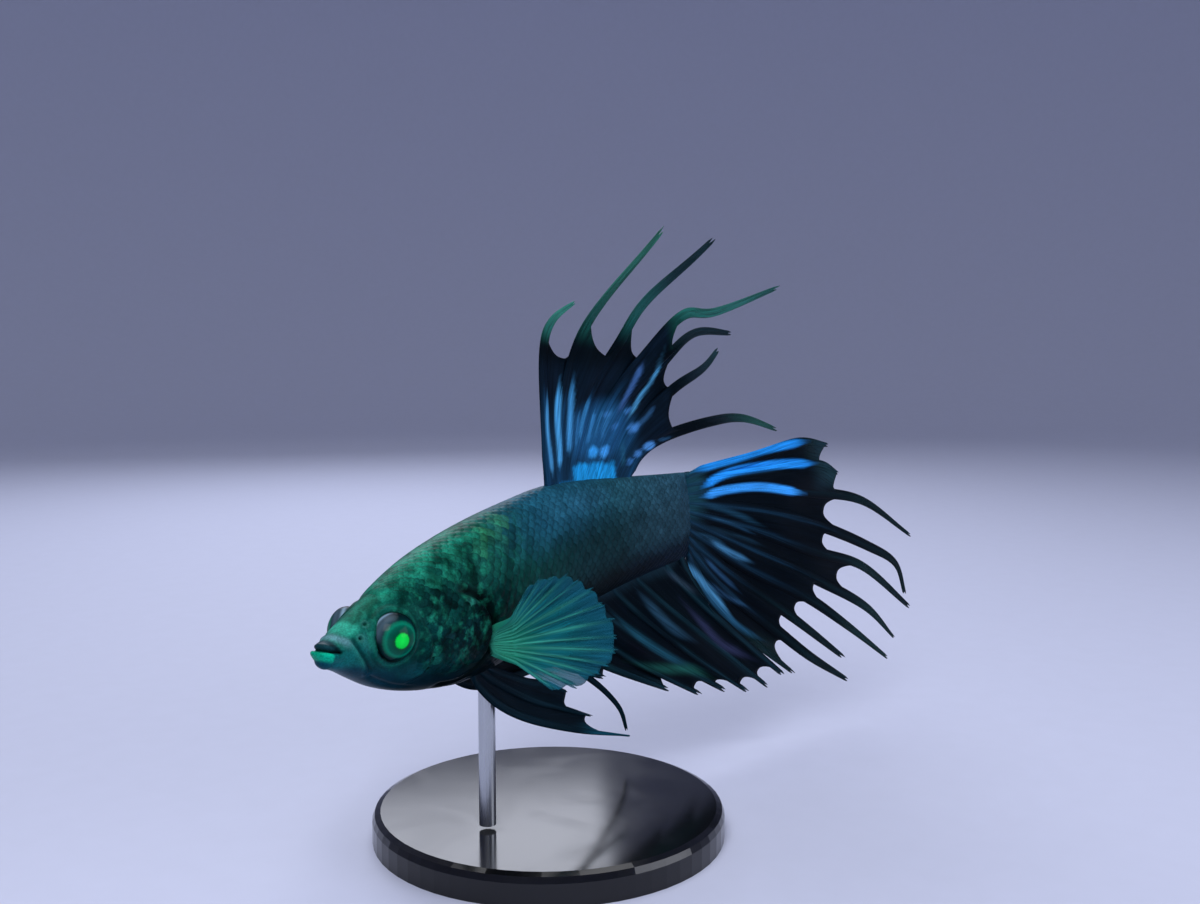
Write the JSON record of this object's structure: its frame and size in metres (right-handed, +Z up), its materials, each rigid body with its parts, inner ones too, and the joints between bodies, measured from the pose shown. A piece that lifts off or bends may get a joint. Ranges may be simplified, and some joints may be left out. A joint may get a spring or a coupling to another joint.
{
  "type": "betta fish model",
  "caption": "Life-size crowntail betta fish, a still model with spread spiky fins and a tail curved to its left, held on a round stand by one rod.",
  "frame": {"origin": "centre of the underside of the stand's round base", "axes": "+X from the head towards the tail, along the fish's length; +Y towards the fish's right side; +Z up"},
  "size_m": [0.0711, 0.026, 0.0451],
  "materials": {
    "head_skin": "wet green skin with fine scales, satin gloss",
    "jaw_skin": "wet dark green skin of the lips and throat",
    "body_skin": "wet dark teal skin with overlapping scales, satin gloss",
    "eye": "clear glossy eyeball, black and green with a bright green pupil",
    "dorsal_fin": "thin fin skin on rays, azure at the base and black-green above",
    "caudal_fin": "thin fin skin on rays, black with azure and slate-blue stripes",
    "anal_fin": "thin fin skin on rays, near black with dark slate-blue stripes",
    "pectoral_fin": "translucent teal fan on pale green rays",
    "pelvic_fin": "black-green blade with a teal streak near the tip",
    "stand_plate": "polished black acrylic",
    "stand_steel": "drawn stainless steel rod"
  },
  "bodies": {
    "root": {"head": "head_skin", "jaw_lower": "jaw_skin", "gill_cover_left": "head_skin", "gill_cover_right": "head_skin", "eye_left": "eye", "eye_right": "eye", "trunk": "body_skin", "tail_root": "body_skin", "dorsal_fin": "dorsal_fin", "caudal_fin": "caudal_fin", "anal_fin": "anal_fin", "pectoral_fin_left": "pectoral_fin", "pectoral_fin_right": "pectoral_fin", "pelvic_fin_left": "pelvic_fin", "pelvic_fin_right": "pelvic_fin", "stand_base": "stand_plate", "stand_rod": "stand_steel"}
  },
  "joints": []
}
